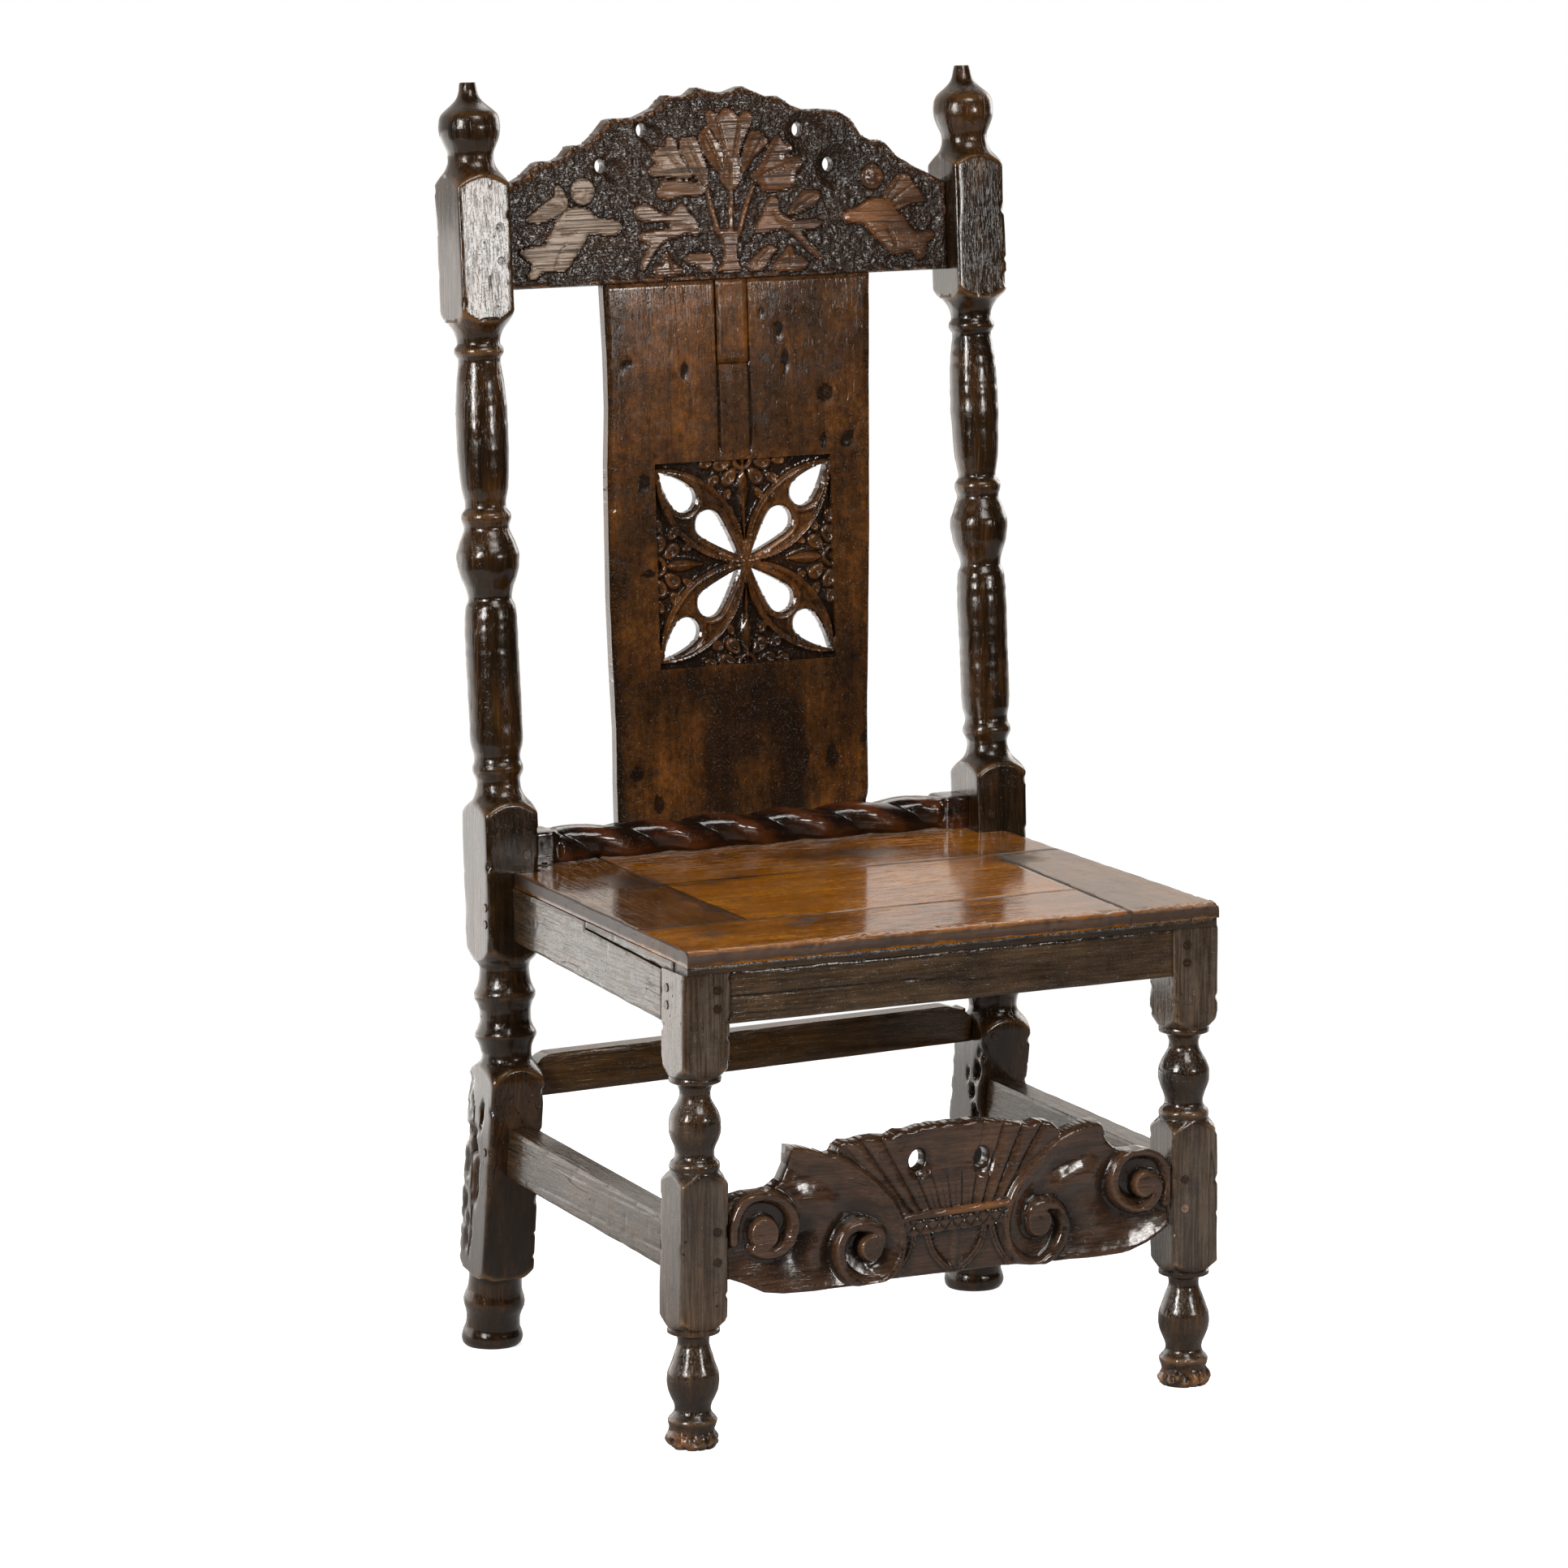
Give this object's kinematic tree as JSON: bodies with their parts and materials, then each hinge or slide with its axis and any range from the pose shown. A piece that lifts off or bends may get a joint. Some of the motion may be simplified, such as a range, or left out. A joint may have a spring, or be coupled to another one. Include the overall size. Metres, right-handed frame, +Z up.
{
  "type": "wainscot chair",
  "caption": "High-backed joined oak side chair: turned posts and legs, scalloped carved crest, pierced splat, rope-twist rail, boarded seat and scroll-carved front stretcher.",
  "frame": {"origin": "on the floor, under the middle of the chair's overall box", "axes": "+X to the right seen from the front, the front faces -Y, +Z up"},
  "size_m": [0.5547, 0.4924, 1.1459],
  "materials": {
    "frame_oak": "dark stained oak, waxed and worn",
    "crest_oak": "dark carved oak, relief worn reddish brown, waxed",
    "splat_oak": "dark red-brown oak, waxed",
    "seat_oak": "brown oak boards, polished by use",
    "seat_dark_oak": "dark oak, polished by use",
    "seat_golden_oak": "golden oak, polished by use",
    "peg_oak": "dark oak pegs, flush"
  },
  "bodies": {
    "root": {"left_back_post": "frame_oak", "right_back_post": "frame_oak", "left_front_leg": "frame_oak", "right_front_leg": "frame_oak", "front_seat_rail": "frame_oak", "back_seat_rail": "frame_oak", "left_seat_rail": "frame_oak", "right_seat_rail": "frame_oak", "left_side_stretcher": "frame_oak", "right_side_stretcher": "frame_oak", "back_stretcher": "frame_oak", "front_stretcher": "frame_oak", "twist_rail": "frame_oak", "crest_rail": "crest_oak", "back_splat": "splat_oak", "splat_patch": "splat_oak", "seat_left_board": "seat_oak", "seat_back_board": "seat_oak", "seat_front_board": "seat_oak", "seat_right_board": "seat_dark_oak", "seat_panel": "seat_golden_oak", "front_seat_strip": "seat_dark_oak", "left_seat_strip": "seat_dark_oak", "right_seat_strip": "seat_dark_oak", "crest_pegs": "peg_oak", "twist_rail_pegs": "peg_oak", "seat_rail_pegs": "peg_oak", "side_stretcher_pegs": "peg_oak", "back_stretcher_pegs": "peg_oak", "front_stretcher_pegs": "peg_oak"}
  },
  "joints": []
}
